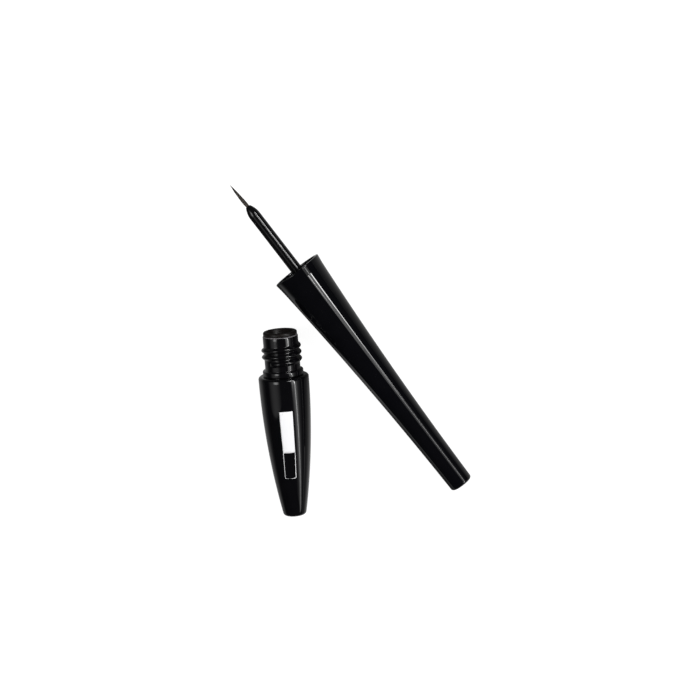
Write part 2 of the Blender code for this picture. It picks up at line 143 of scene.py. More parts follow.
def coat(mesh, material):
    """Make a mesh smooth and give it its material."""
    mesh.polygons.foreach_set("use_smooth", [True] * len(mesh.polygons))
    mesh.materials.append(material)


def placed(name, data, place):
    """A new object of the scene with this data, at this place."""
    made = bpy.data.objects.new(name, data)
    bpy.context.collection.objects.link(made)
    made.matrix_world = place
    return made


def show(name, mesh, place, body, material, replaced=()):
    """Hang a finished mesh on its body, smooth, with its material, and hide the CAD nodes that it stands for.
    """
    coat(mesh, material)
    made = placed(name, mesh, place)
    made.modifiers.new("even_shading", "WEIGHTED_NORMAL").weight = SHADING_WEIGHT
    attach(made, body)
    if replaced:
        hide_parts(*replaced)


class Signal:
    """One output of a material's nodes. Sums on it are plain expressions, which add their Math nodes."""

    def __init__(self, wiring, socket):
        self.wiring = wiring
        self.socket = socket

    def math(self, operation, *values):
        """The result of a Math node on these values."""
        return self.wiring.node("ShaderNodeMath", {"operation": operation}, dict(enumerate(values)))

    def __add__(self, other):
        return self.math("ADD", self, other)

    def __sub__(self, other):
        return self.math("SUBTRACT", self, other)

    def __rsub__(self, other):
        return self.math("SUBTRACT", other, self)

    def __mul__(self, other):
        return self.math("MULTIPLY", self, other)

    def __pow__(self, other):
        return self.math("POWER", self, other)

    __radd__ = __add__
    __rmul__ = __mul__

    def clear(self, low, high):
        """0 below low and 1 above high, with a soft step between them."""
        sockets = {"Value": self, "From Min": low, "From Max": high}
        return self.wiring.node("ShaderNodeMapRange", {"interpolation_type": "SMOOTHSTEP"}, sockets)

    def axis(self, name):
        """One coordinate of a vector."""
        return self.wiring.node("ShaderNodeSeparateXYZ", {}, {0: self}, output=name)

    def beside(self, output):
        """Another output of the same node."""
        return Signal(self.wiring, self.socket.node.outputs[output])


class Wiring:
    """The nodes of a material or a lamp."""

    def __init__(self, owner):
        owner.use_nodes = True
        self.tree = owner.node_tree

    def plug(self, socket, value):
        """Link a signal to a socket, or set the socket's own value."""
        if isinstance(value, Signal):
            self.tree.links.new(value.socket, socket)
        else:
            socket.default_value = value

    def node(self, kind, settings=None, sockets=None, output=0):
        """Add a node: its settings first, then the values or links of its sockets."""
        made = self.tree.nodes.new(kind)
        for setting, value in (settings or {}).items():
            setattr(made, setting, value)
        for socket, value in (sockets or {}).items():
            self.plug(made.inputs[socket], value)
        return Signal(self, made.outputs[output])


class Finish(Wiring):
    """A material in the making: one shader, the piece's own coordinates, and what varies over its surface."""

    def __init__(self, name, **constants):
        self.material = bpy.data.materials.new(name)
        super().__init__(self.material)
        self.shader = self.tree.nodes["Principled BSDF"]
        self.feed(**constants)
        self.place = self.node("ShaderNodeTexCoord", output="Object")

    def stretched(self, along):
        """The coordinates with the piece's long axis shortened, so that marks on them run lengthwise."""
        return self.node("ShaderNodeMapping", {}, {"Vector": self.place, "Scale": (1.0, 1.0, along)})

    def noise(self, scale, detail=2.0, place=None):
        """Cloudy noise over the piece, or over other coordinates."""
        sockets = {"Vector": place or self.place, "Scale": scale, "Detail": detail}
        return self.node("ShaderNodeTexNoise", {}, sockets)

    def blend(self, share, low, high):
        """Colour between two colours."""
        made = self.node("ShaderNodeMix", {"data_type": "RGBA"}, {"Factor": share}, output="Result")
        mix = made.socket.node
        for socket, value in zip([s for s in mix.inputs if s.type == "RGBA"], (low, high)):
            self.plug(socket, value)
        return Signal(self, [s for s in mix.outputs if s.type == "RGBA"][0])

    def grain(self, height, depth, under=None):
        """Normal of a surface with this relief, depth in metres for a height of 1."""
        sockets = {"Height": height, "Distance": depth}
        if under:
            sockets["Normal"] = under
        return self.node("ShaderNodeBump", {}, sockets)

    def feed(self, **values):
        """Give the shader's sockets their signals or constants, and return the material."""
        for name, value in values.items():
            self.plug(self.shader.inputs[name.replace("_", " ").title().replace("Ior", "IOR")], value)
        return self.material


def polished_black(name, deep, worn, gloss, haze, edge=None):
    """Polished black moulding: a near-black with slow drifts of tone, hair-fine marks and a faint ripple.

    edge may give the piece's end a painted highlight: the two heights in mm between which it sets in, the
    light colour painted there as a highlight, and how much rougher it is.
    """
    finish = Finish(name, ior=1.5)
    drift = finish.noise(190.0)
    marks = finish.noise(2600.0, 3.0, finish.stretched(0.06))
    wiped = finish.noise(420.0, 4.0).clear(0.48, 0.74)
    ripple = finish.noise(260.0, 1.0)
    colour = finish.blend(drift, deep, worn)
    roughness = gloss + wiped * haze + marks.clear(0.6, 0.8) * (haze / 2)
    if edge:
        start, whole, painted_highlight_colour, rougher = edge
        # The end between the two heights is painted light grey as a highlight line, and made rougher.
        painted_and_dulled = finish.place.axis("Z").clear(start * MILLIMETRE, whole * MILLIMETRE)
        colour = finish.blend(painted_and_dulled * (0.5 + drift), colour, painted_highlight_colour)
        roughness = roughness + painted_and_dulled * rougher
    scratched = finish.grain(marks, 0.4 * MICROMETRE)
    return finish.feed(
        base_color=colour,
        roughness=roughness,
        normal=finish.grain(ripple, 4 * MICROMETRE, scratched),
    )


bottle_frame = standing_on(mounts["bottle_base"])
body_height = 46.7
shoulder_radius = 8.15
shoulder_round = 0.9
base_radius = 3.66
base_round = 1.1
sleeve_floor = 5.0
sleeve_floor_round = 0.5
sleeve_foot_wall = 1.0
sleeve_mouth_radius = 6.2
sleeve_mouth_round = 0.15
sleeve_dimple_radius = 1.4
sleeve_dimple_depth = 0.18
sleeve_dimple_slope = 0.25
sleeve_dimple_round = 0.12
barrel_arc = (body_height ** 2 + (shoulder_radius - base_radius) ** 2) / (2 * (shoulder_radius - base_radius))


def barrel_radius(height):
    """Outer radius of the sleeve in mm at a height above its base: one long arc that starts straight."""
    return shoulder_radius - barrel_arc + sqrt(barrel_arc ** 2 - (body_height - height) ** 2)


sleeve_foot_radius = barrel_radius(sleeve_floor) - sleeve_foot_wall
sleeve_outline = rounded([
    (0, sleeve_dimple_depth),
    (sleeve_dimple_radius - sleeve_dimple_slope, sleeve_dimple_depth, sleeve_dimple_round),
    (sleeve_dimple_radius, 0, sleeve_dimple_round),
    (base_radius, 0, base_round),
    *[(barrel_radius(height), height) for height in span(0, body_height, 48)[2:-2]],
    (shoulder_radius, body_height, shoulder_round),
    (sleeve_mouth_radius, body_height, sleeve_mouth_round),
    (sleeve_foot_radius, sleeve_floor, sleeve_floor_round),
    (0, sleeve_floor),
])
body_black = polished_black("body_black", (0.0016, 0.0016, 0.0021, 1), (0.003, 0.0029, 0.0036, 1), 0.045, 0.05)
show("sleeve", turned("sleeve", sleeve_outline), bottle_frame, "bottle", body_black, ["bottle_sleeve"])

# The print on the barrel: a plain block of silver foil with a narrow frame below it, hot stamped into the
# lacquer by a heated die, so it follows the barrel's curve and lies a hair's breadth above it.
foil_left = radians(-100.6)
foil_foot_inset = radians(0.9)
foil_right = radians(-68.4)
foil_top = 36.2
foil_bottom = 22.35
foil_lift = 0.012
foil_thickness = 0.02
frame_left = radians(-100.1)
frame_foot_left = radians(-103.2)
frame_foot_right = radians(-69.6)
frame_bottom = 13.65
frame_corner_radius = 0.35
frame_corner_height = frame_bottom + frame_corner_radius
frame_top_left_width = 0.16
frame_left_width = 0.13
frame_top_right_width = 0.13
frame_right_width = 0.2
frame_foot_width = 0.025
left_swell, left_swell_end = 0.11, 0.25
right_swell, right_swell_start = 0.16, 0.5


def stamped(name, rows):
    """A thin skin on the barrel, from rows of (angle, height) points of equal length."""
    shape = bmesh.new()
    under, over = [], []
    for sheet, lift in ((under, foil_lift), (over, foil_lift + foil_thickness)):
        for row in rows:
            line = []
            for angle, height in row:
                out = barrel_radius(height) + lift
                point = Vector((out * cos(angle), out * sin(angle), height))
                line.append(shape.verts.new(point * MILLIMETRE))
            sheet.append(line)
    for sheet in (under, over):
        for near, far in zip(sheet, sheet[1:]):
            for point in range(len(near) - 1):
                shape.faces.new((near[point], near[point + 1], far[point + 1], far[point]))
    under_sides, over_sides = [list(zip(*sheet)) for sheet in (under, over)]
    edges = [(under[end], over[end]) for end in (0, -1)]
    edges += [(under_sides[end], over_sides[end]) for end in (0, -1)]
    for low, high in edges:
        for point in range(len(low) - 1):
            shape.faces.new((low[point], low[point + 1], high[point + 1], high[point]))
    bmesh.ops.recalc_face_normals(shape, faces=shape.faces)
    return finished(name, shape)


foil = Finish("silver_foil", metallic=0.2)
foil_grain = foil.noise(5200.0, 2.0)
foil_wear = foil.noise(700.0, 5.0).clear(0.62, 0.8)
silver_foil = foil.feed(
    base_color=foil.blend(foil_wear, (0.93, 0.93, 0.94, 1), (0.7, 0.7, 0.71, 1)),
    roughness=0.3 + foil_grain * 0.08 + foil_wear * 0.15,
    normal=foil.grain(foil_grain, 1.5 * MICROMETRE),
)
block_rows = [
    [(angle, height) for angle in span(foil_left + foil_foot_inset * share, foil_right, 14)]
    for share, height in zip(span(0, 1, 24), span(foil_bottom, foil_top, 24))
]
show("foil_block", stamped("foil_block", block_rows), bottle_frame, "bottle", silver_foil)


def frame_band(track):
    """Rows across a stamped line that follows a track of (angle, height, width of the line in mm) points."""
    flat = [Vector((angle * barrel_radius(height), height)) for angle, height, width in track]
    rows = []
    for index, point in enumerate(flat):
        way = flat[min(index + 1, len(flat) - 1)] - flat[max(index - 1, 0)]
        aside = Vector((-way.y, way.x)).normalized() * (track[index][2] / 2)
        rows.append([(end.x / barrel_radius(end.y), end.y) for end in (point + aside, point - aside)])
    return rows


def frame_side(start, end):
    """Track of one straight side of the frame, between two (angle, height, width) points."""
    return [tuple(a + (b - a) * share for a, b in zip(start, end)) for share in span(0, 1, 16)]


def frame_corner(angle, inward, width):
    """Track round a small corner at the frame's foot, from its side onto the foot."""
    track = []
    for turn in span(0, pi / 2, 8):
        aside = frame_corner_radius * (1 - cos(turn)) / barrel_radius(frame_bottom) * inward
        track.append((angle + aside, frame_bottom + frame_corner_radius * (1 - sin(turn)), width))
    return track


def foot_width(share):
    """Width in mm of the frame's foot, a hairline that swells towards both corners."""
    near_left = max(1 - share / left_swell_end, 0)
    near_right = max(share - right_swell_start, 0) / (1 - right_swell_start)
    return frame_foot_width + left_swell * near_left ** 2 + right_swell * near_right


left_top = (frame_left, foil_bottom, frame_top_left_width)
left_foot = (frame_foot_left, frame_corner_height, frame_left_width)
left_corner = frame_corner(frame_foot_left, 1, frame_left_width)
right_corner = frame_corner(frame_foot_right, -1, frame_right_width)
right_foot = (frame_foot_right, frame_corner_height, frame_right_width)
right_top = (foil_right, foil_bottom, frame_top_right_width)
foot_start, foot_end = left_corner[-1][0], right_corner[-1][0]
foot_track = []
for share in span(0, 1, 24)[1:-1]:
    foot_track.append((foot_start + (foot_end - foot_start) * share, frame_bottom, foot_width(share)))
frame_track = [
    *frame_side(left_top, left_foot)[:-1],
    *left_corner,
    *foot_track,
    *reversed(right_corner),
    *frame_side(right_foot, right_top)[1:],
]
show("foil_frame", stamped("foil_frame", frame_band(frame_track)), bottle_frame, "bottle", silver_foil)

# The vial: the inner tube that holds the liquid, moulded in the same black plastic. Its collar rests on the
# sleeve's shoulder, and its open neck carries a coarse right-hand thread of about two and a half turns.
seat_gap = 0.15
neck_radius = 5.68
neck_height = 13.1
neck_bore_radius = 4.45
neck_lip = 1.0
neck_lip_round = 0.3
neck_bore_round = 0.25
collar_radius = 6.55
collar_height = 1.8
collar_round = 0.75
collar_under_round = 0.3
vial_wall = 0.8
vial_floor = 1.0
vial_foot = sleeve_floor + seat_gap
chamber_floor = vial_foot + vial_floor
chamber_top = body_height - 1.2
chamber_foot_round = 0.6
thread_pitch = 2.18
thread_height = 0.78
thread_half_width = 0.98
thread_base = body_height + 5.16
thread_turns = (-125 / 360, 2 + 40 / 360)
thread_fade_turns = 0.13
thread_fade_power = 0.7
thread_crest_power = 1.25
neck_foot = body_height + seat_gap + collar_height
neck_rim = body_height + neck_height


def vial_radius(height):
    """Outer radius of the vial in mm inside the sleeve's tapered bore."""
    share = (height - sleeve_floor) / (body_height - sleeve_floor)
    return sleeve_foot_radius + (sleeve_mouth_radius - sleeve_foot_radius) * share - seat_gap


def ridge(distance, half_width):
    """Section of a moulded thread: a rounded crest on flanks that run out into the wall."""
    share = min(abs(distance) / half_width, 1)
    return cos(share * pi / 2) ** thread_crest_power


def thread_rise(angle, height, base, half_width, turns):
    """How much of a thread's full height stands at a point, where the thread climbs from base at angle 0."""
    first_turn, last_turn = turns
    tallest = 0
    for turn in range(int(first_turn) - 1, int(last_turn) + 2):
        wound = turn + angle / (2 * pi)
        left = min(wound - first_turn, last_turn - wound) / thread_fade_turns
        if left > 0:
            fade = sin(min(left, 1) * pi / 2) ** thread_fade_power
            tallest = max(tallest, fade * ridge(height - base - wound * thread_pitch, half_width))
    return tallest


def neck_thread(index, angle, height):
    """How far the thread stands out of the neck's side, in mm."""
    if index < neck_side_start or index > neck_side_end:
        return 0
    return thread_height * thread_rise(angle, height, thread_base, thread_half_width, thread_turns)


below_neck = rounded([
    (0, vial_foot),
    (vial_radius(vial_foot), vial_foot, chamber_foot_round),
    (vial_radius(body_height), body_height + seat_gap),
    (collar_radius, body_height + seat_gap, collar_under_round),
    (collar_radius, neck_foot, collar_round),
    (neck_radius, neck_foot),
])
above_neck = rounded([
    (neck_radius, neck_rim - neck_lip),
    (neck_radius, neck_rim, neck_lip_round),
    (neck_bore_radius, neck_rim, neck_bore_round),
    (neck_bore_radius, body_height),
    (vial_radius(chamber_top) - vial_wall, chamber_top),
    (vial_radius(chamber_floor) - vial_wall, chamber_floor, chamber_foot_round),
    (0, chamber_floor),
])
neck_side = [(neck_radius, height) for height in span(neck_foot, neck_rim - neck_lip, 110)[1:-1]]
neck_side_start = len(below_neck)
neck_side_end = neck_side_start + len(neck_side) - 1
vial_mesh = turned("vial", below_neck + neck_side + above_neck, sides=240, swell=neck_thread)
# The top of the neck rim is painted light grey as a highlight line, and made rougher.
rim_painted_highlight = (neck_rim - 0.22, neck_rim - 0.05, (0.25, 0.241, 0.25, 1), 0.26)
neck_black = polished_black(
    "neck_black", (0.0016, 0.0016, 0.0021, 1), (0.0032, 0.003, 0.0036, 1), 0.06, 0.06, rim_painted_highlight
)
show("vial", vial_mesh, bottle_frame, "bottle", neck_black, ["bottle_vial"])

# The wiper: a soft plug of dark rubbery plastic, pressed into the neck until its flange lies on the rim.
# Inside, a thin cone closes round the stem, wipes the stem clean and leaves the brush with an even load.
wiper_flange_height = 1.2
wiper_flange_radius = 5.48
wiper_flange_round = 0.5
wiper_mouth_radius = 4.42
wiper_mouth_depth = 1.4
wiper_wall = 0.6
wiper_reach = 7.5
wiper_top = neck_rim + seat_gap + wiper_flange_height
wiper_under = wiper_top - wiper_flange_height
wiper_foot = wiper_under - wiper_reach
wiper_radius = neck_bore_radius - seat_gap
cone_height = 2.6
cone_round = 0.4
orifice_radius = 2.18
orifice_round = 0.15
wiper_outline = rounded([
    (orifice_radius, wiper_foot, orifice_round),
    (orifice_radius + wiper_wall, wiper_foot, orifice_round),
    (wiper_radius, wiper_foot + cone_height, cone_round),
    (wiper_radius, wiper_under, 0.1),
    (wiper_flange_radius, wiper_under, 0.22),
    (wiper_flange_radius, wiper_top, wiper_flange_round),
    (wiper_mouth_radius, wiper_top, 0.4),
    (wiper_radius - wiper_wall, wiper_top - wiper_mouth_depth, 0.5),
    (wiper_radius - wiper_wall, wiper_foot + cone_height + 0.3, cone_round),
])
wiper = Finish("wiper_rubber", ior=1.36)
wiper_grain = wiper.noise(3800.0, 3.0)
wiper_film = wiper.noise(330.0, 3.0).clear(0.4, 0.7)
wiper_rubber = wiper.feed(
    base_color=wiper.blend(wiper_film, (0.0035, 0.0026, 0.0024, 1), (0.007, 0.0052, 0.0046, 1)),
    roughness=0.36 + wiper_film * 0.06 + wiper_grain * 0.04,
    normal=wiper.grain(wiper_grain, 0.8 * MICROMETRE),
)
wiper_mesh = turned("wiper", wiper_outline, ring=True)
show("wiper", wiper_mesh, bottle_frame, "bottle", wiper_rubber, ["neck_wiper"])

# The mixing ball: a ground steel ball that lies loose in the vial and stirs the pigment when the bottle is
# shaken. Its surface has the fine pits and tumbling marks of such balls.
ball_low, ball_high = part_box("mixing_ball")
ball_middle = (ball_low + ball_high) / 2
ball_radius = (ball_high.z - ball_low.z) / 2
ball_shape = bmesh.new()
bmesh.ops.create_cube(ball_shape, size=2.0)
bmesh.ops.subdivide_edges(ball_shape, edges=ball_shape.edges, cuts=13, use_grid_fill=True)
for vertex in ball_shape.verts:
    vertex.co = vertex.co.normalized() * ball_radius
ball_mesh = finished("ball", ball_shape)
steel = Finish("ball_steel", metallic=1.0)
steel_pits = steel.noise(2400.0, 4.0).clear(0.58, 0.75)
steel_marks = steel.noise(6200.0, 2.0)
ball_steel = steel.feed(
    base_color=steel.blend(steel_pits, (0.62, 0.62, 0.63, 1), (0.4, 0.4, 0.41, 1)),
    roughness=0.12 + steel_pits * 0.2 + steel_marks * 0.06,
    normal=steel.grain(steel_marks, 2 * MICROMETRE),
)
show("ball", ball_mesh, Matrix.Translation(ball_middle), "ball", ball_steel, ["mixing_ball"])

# The handle, which is also the cap: one hollow moulding in polished black plastic, slim at its end and
# flared to its mouth, where a short straight land ends it. Inside are the thread for the neck, a snap bead
# and a step that hold the stem's flange, and a long core that saves plastic.
handle_length = 87.9
applicator_frame = standing_on(mounts["handle_end"], handle_length * MILLIMETRE)
handle_end_radius = 3.865
handle_end_taper = 0.014
handle_bow = 0.0004023
handle_end_round = 1.1
handle_dimple_radius = 1.5
handle_dimple_depth = 0.15
handle_dimple_slope = 0.2
handle_dimple_round = 0.1
mouth_land = 3.2
mouth_land_round = 0.5
mouth_radius = 8.35
lip_round = 0.3
recess_radius = 7.3
recess_depth = 2.4
recess_end = 2.8
thread_clearance = 0.2
bore_radius = neck_radius + thread_height + thread_clearance
bore_depth = 11.4
bore_chamfer = 0.4
pocket_radius = 6.05
shoulder_gap = 0.3
flange_depth = neck_height + wiper_flange_height + 2 * seat_gap - shoulder_gap
flange_height = 1.3
flange_seat = flange_depth + flange_height + seat_gap
bead_height = 0.25
bead_length = 0.7
bead_round = 0.15
bead_foot = -flange_depth + seat_gap
handle_end_wall = 5.0
core_end = handle_length - handle_end_wall
core_mouth_radius = 5.0
core_end_radius = 1.9
core_end_round = 0.95
mating_height = 0.55
mating_half_width = 0.62
mating_margin = 1.15
mating_first = -bore_depth + mating_margin
mating_turns = (0, (-recess_end - mating_margin - mating_first) / thread_pitch)


def handle_radius(depth):
    """Outer radius of the handle in mm at a depth below its mouth: a flare, nearly straight at its end."""
    from_end = handle_length - depth
    return handle_end_radius + handle_end_taper * from_end + handle_bow * from_end ** 2


def core_radius(depth):
    """Inner radius of the handle's long core in mm at a depth below its mouth."""
    share = (depth - flange_seat) / (core_end - flange_seat)
    return core_mouth_radius + (core_end_radius - core_mouth_radius) * share


def mouth_thread(index, angle, height):
    """How far the thread stands into the handle's bore, in mm below the round."""
    if index < bore_side_start or index > bore_side_end:
        return 0
    return -mating_height * thread_rise(angle, height, mating_first, mating_half_width, mating_turns)


to_bore = rounded([
    (0, -handle_length + handle_dimple_depth),
    (handle_dimple_radius - handle_dimple_slope, -handle_length + handle_dimple_depth, handle_dimple_round),
    (handle_dimple_radius, -handle_length, handle_dimple_round),
    (handle_end_radius, -handle_length, handle_end_round),
    *[(handle_radius(depth), -depth) for depth in span(handle_length - 1.8, mouth_land + 0.25, 60)],
    (handle_radius(mouth_land), -mouth_land, mouth_land_round),
    (mouth_radius, 0, lip_round),
    (recess_radius, 0, lip_round),
    (recess_radius, -recess_depth, 0.1),
    (bore_radius, -recess_end),
])
from_bore = rounded([
    (bore_radius, -bore_depth),
    (pocket_radius, -bore_depth - bore_chamfer),
    (pocket_radius, bead_foot + bead_length),
    (pocket_radius - bead_height, bead_foot + bead_length / 2, bead_round),
    (pocket_radius, bead_foot),
    (pocket_radius, -flange_seat),
    (core_radius(flange_seat), -flange_seat, 0.1),
    (core_radius(core_end), -core_end, core_end_round),
    (0, -core_end),
])
bore_side = [(bore_radius, height) for height in span(-recess_end, -bore_depth, 80)[1:-1]]
bore_side_start = len(to_bore)
bore_side_end = bore_side_start + len(bore_side) - 1
handle_mesh = turned("handle", to_bore + bore_side + from_bore, sides=240, swell=mouth_thread)
handle_black = polished_black(
    "handle_black", (0.0014, 0.0014, 0.002, 1), (0.0026, 0.0026, 0.0034, 1), 0.04, 0.045
)
show("handle", handle_mesh, applicator_frame, "applicator", handle_black, ["handle_shell"])

# The stem: a moulded rod with a rounded nose and a socket for the brush. Its flange snaps into the handle and
# seals on the wiper, and a hollow plug behind the flange steadies it. Its surface is satin, with fine marks
# along it from the mould.
stem_radius = 1.88
nose_end = 25.5
nose_length = 3.8
nose_radius = 0.76
nose_arc = (nose_length ** 2 + (stem_radius - nose_radius) ** 2) / (2 * (stem_radius - nose_radius))
socket_wall = 0.14
socket_radius = nose_radius - socket_wall
socket_depth = 3.0
flange_radius = 5.9
flange_round = 0.2
flange_fillet = 0.8
flange_top = -flange_depth - flange_height
plug_length = 7.0
plug_end = flange_top - plug_length
plug_radius = core_radius(-plug_end) - seat_gap
plug_wall = 0.9


def nose_outline(way):
    """Point of the nose's outline, at a way along it towards its end."""
    return (stem_radius - nose_arc + sqrt(nose_arc ** 2 - way ** 2), nose_end - nose_length + way)


stem_outline = rounded([
    (0, flange_top),
    (plug_radius - plug_wall, flange_top, 0.15),
    (plug_radius - plug_wall, plug_end, 0.1),
    (plug_radius, plug_end, 0.3),
    (plug_radius, flange_top, 0.1),
    (flange_radius, flange_top, flange_round),
    (flange_radius, -flange_depth, flange_round),
    (stem_radius, -flange_depth, flange_fillet),
    *[nose_outline(way) for way in span(0, nose_length, 24)],
    (socket_radius, nose_end, 0.03),
    (socket_radius, nose_end - socket_depth, 0.05),
    (0, nose_end - socket_depth),
])
satin = Finish("stem_satin", ior=1.49)
draw_marks = satin.noise(2600.0, 2.0, satin.stretched(0.004))
satin_drift = satin.noise(500.0, 3.0)
stem_satin = satin.feed(
    base_color=satin.blend(satin_drift, (0.002, 0.002, 0.0024, 1), (0.0036, 0.0035, 0.0037, 1)),
    roughness=0.12 + satin_drift * 0.025 + draw_marks * 0.015,
    normal=satin.grain(draw_marks, 0.15 * MICROMETRE),
)
stem_mesh = turned("stem_rod", stem_outline, sides=128)
show("stem_rod", stem_mesh, applicator_frame, "applicator", stem_satin, ["stem"])

# The root of the brush: the ends of all its hairs, melted together and glued into the socket in the nose.
# Its side is fluted by the outermost hairs.
root_gap = 0.05
root_radius = socket_radius - root_gap
root_foot = nose_end - socket_depth + root_gap
root_top = nose_end + 0.05
flute_count = 44
flute_depth = 0.012


def flutes(index, angle, height):
    """How far the root's side stands out between its flutes, in mm below the round."""
    return flute_depth * (abs(cos(angle * flute_count / 2)) - 1)


root_outline = rounded([
    (0, root_foot),
    (root_radius, root_foot, 0.08),
    *[(root_radius, nose_end - 2.8 + step * 0.34) for step in range(8)],
    (root_radius, root_top, 0.05),
    (0, root_top),
])
glue = Finish("fused_root", ior=1.5)
glue_streaks = glue.noise(5200.0, 3.0, glue.stretched(0.08))
fused_root = glue.feed(
    base_color=glue.blend(glue_streaks, (0.03, 0.021, 0.015, 1), (0.075, 0.05, 0.034, 1)),
    roughness=0.3 + glue_streaks * 0.25,
    normal=glue.grain(glue_streaks, 10 * MICROMETRE),
)
root_mesh = turned("root", root_outline, sides=flute_count * 4, swell=flutes)
show("root", root_mesh, applicator_frame, "applicator", fused_root, ["brush_root"])

# The brush: several hundred fine tapered hairs that stand in the root and draw in to one soft point. They
# bend as one tuft, so they bend where they leave the nose. The hairs are brown, from dark to pale, and their
# gloss varies with how wet they are.
hair_count = 520
hair_sides = 5
hair_radius = 0.0205
hair_reach = 9.2
hair_sunk = 0.12
hair_foot = nose_end - hair_sunk
outer_hair_shortfall = 0.42
hair_tip_thinning = 0.72
hair_thinning_power = 1.6
hair_sway = 0.035
tuft_profile = [
    (0, 0.95), (0.1, 1.14), (0.25, 1.14), (0.4, 1.0), (0.6, 0.8), (0.8, 0.52), (0.93, 0.24), (1, 0.07)
]
tuft_lean = 0.38
tuft_lean_power = 0.65
golden_angle = pi * (3 - sqrt(5))
length_step = 0.618034
tone_step = 0.754878


def tuft_spread(share):
    """Width of the tuft at a share of its height, as a share of its width at the nose."""
    for (low, low_spread), (high, high_spread) in zip(tuft_profile, tuft_profile[1:]):
        if share <= high:
            return low_spread + (high_spread - low_spread) * (share - low) / (high - low)
    return tuft_profile[-1][1]


hair_shape = bmesh.new()
hair_tone = hair_shape.verts.layers.float.new("tone")
for number in range(hair_count):
    ring = sqrt((number + 0.5) / hair_count)
    angle = number * golden_angle
    own = (number * length_step) % 1
    end = 1 - outer_hair_shortfall * ring ** 2 * (0.55 + 0.45 * own)
    aside = Vector((cos(angle), sin(angle), 0)) * ring * (root_radius - hair_radius)
    across = Vector((-sin(angle), cos(angle), 0))
    sections = []
    for station in span(0, end, 9):
        share = station / end
        sway = across * (hair_sway * sin(share * pi * (1 + own)) * (own - 0.5))
        lean = Vector((-tuft_lean * station ** tuft_lean_power, 0, 0))
        height = Vector((0, 0, hair_foot + (hair_reach + hair_sunk) * station))
        centre = aside * tuft_spread(station) + sway + lean + height
        thickness = hair_radius * (1 - hair_tip_thinning * share ** hair_thinning_power)
        section = []
        for side in range(hair_sides):
            around = angle + 2 * pi * side / hair_sides
            point = centre + Vector((cos(around), sin(around), 0)) * thickness
            vertex = hair_shape.verts.new(point * MILLIMETRE)
            vertex[hair_tone] = (number * tone_step) % 1
            section.append(vertex)
        sections.append(section)
    for near, far in zip(sections, sections[1:]):
        for side in range(hair_sides):
            after = (side + 1) % hair_sides
            hair_shape.faces.new((near[side], near[after], far[after], far[side]))
    hair_shape.faces.new(reversed(sections[0]))
    hair_shape.faces.new(sections[-1])
hair = Finish("brush_hair", ior=1.55)
own_tone = hair.node("ShaderNodeAttribute", {"attribute_name": "tone"}, output="Fac")
hair_wet = hair.noise(900.0, 3.0)
brush_hair = hair.feed(
    base_color=hair.blend(own_tone, (0.013, 0.011, 0.0095, 1), (0.07, 0.055, 0.043, 1)),
    roughness=0.3 + hair_wet * 0.25,
)
hair_mesh = finished("hairs", hair_shape)
coat(hair_mesh, brush_hair)
hairs = placed("hairs", hair_mesh, applicator_frame)
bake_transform(hairs)
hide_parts("brush_hairs")

# The table under the eyeliner: a wide sheet of plain white card, which looks evenly bright from above. In the
# polished pieces' mirror images it is painted dark as shade, apart from a painted gleam close beside each of
# the two halves.
table_radius = 6.0
table_drop = 0.00002
painted_mirror_shade = (0.03, 0.03, 0.03, 1)
bottle_way = (bottle_frame.to_3x3() @ Vector((0, 0, 1))).normalized()
handle_way = (applicator_frame.to_3x3() @ Vector((0, 0, 1))).normalized()
handle_across = Vector((0, 0, 1)).cross(handle_way).normalized()
card = Finish("white_card", roughness=0.9)
card_tooth = card.noise(900.0, 3.0)
from_middle = card.node("ShaderNodeVectorMath", {"operation": "LENGTH"}, {0: card.place}, output="Value")
# Painted shade: the card's colour darkens towards its outskirts, and the glow the camera sees is raised there
# to make up for it.
shaded_outskirts = from_middle.clear(0.12, 0.4)
near_tone = card.blend(card_tooth, (0.19, 0.19, 0.19, 1), (0.21, 0.21, 0.21, 1))
shaded_card_tone = card.blend(shaded_outskirts, near_tone, (0.05, 0.05, 0.05, 1))
seen = card.node("ShaderNodeLightPath", output="Is Camera Ray")
mirrored = seen.beside("Is Glossy Ray")
through = seen.beside("Is Transmission Ray")
# Seen in mirrored rays, the card's colour is painted near-black, as painted shade.
card.feed(base_color=card.blend(mirrored, shaded_card_tone, painted_mirror_shade))
card_x = card.place.axis("X")
card_y = card_x.beside("Y")


def fading(share, fall, power):
    """A share of painted gleam that falls away, and is halved where fall is 1."""
    return share * (fall ** power + 1) ** -1.0


card_glow = 0.98
near_glow_share = 0.92
side_change = 0.005
# Painted reflection: the card glows only in mirrored and transmitted rays close beside the bottle and the
# handle, brighter on their right.
bottle_left_painted_gleam, bottle_right_painted_gleam = 0.34, 0.65
bottle_left_fall, bottle_right_fall = 625, 3600
handle_left_painted_gleam, handle_right_painted_gleam = 0.05, 0.39
handle_both_fall = 1480
from_bottle = card_x - bottle_frame.translation.x
handle_axis_place = applicator_frame.translation.dot(handle_across)
from_handle = card_x * -handle_across.x + card_y * -handle_across.y + handle_axis_place
right_of_bottle = from_bottle.clear(-side_change, side_change)
right_of_handle = from_handle.clear(-side_change, side_change)
below_shoulder = (card_y * -1).clear(0.0, 0.03)
below_mouth = 1 - card_y.clear(0.003, 0.011)
right_painted_gleam = right_of_bottle * below_shoulder * bottle_right_painted_gleam
left_painted_gleam = (1 - right_of_bottle) * below_mouth * bottle_left_painted_gleam
bottle_steepness = bottle_left_fall + right_of_bottle * (bottle_right_fall - bottle_left_fall)
bottle_painted_gleam = fading(right_painted_gleam + left_painted_gleam, from_bottle * from_bottle * bottle_steepness, 2.0)
handle_share = handle_left_painted_gleam + right_of_handle * (handle_right_painted_gleam - handle_left_painted_gleam)
handle_painted_gleam = fading(handle_share, from_handle * from_handle * handle_both_fall, 1.1)
painted_gleam = bottle_painted_gleam + handle_painted_gleam
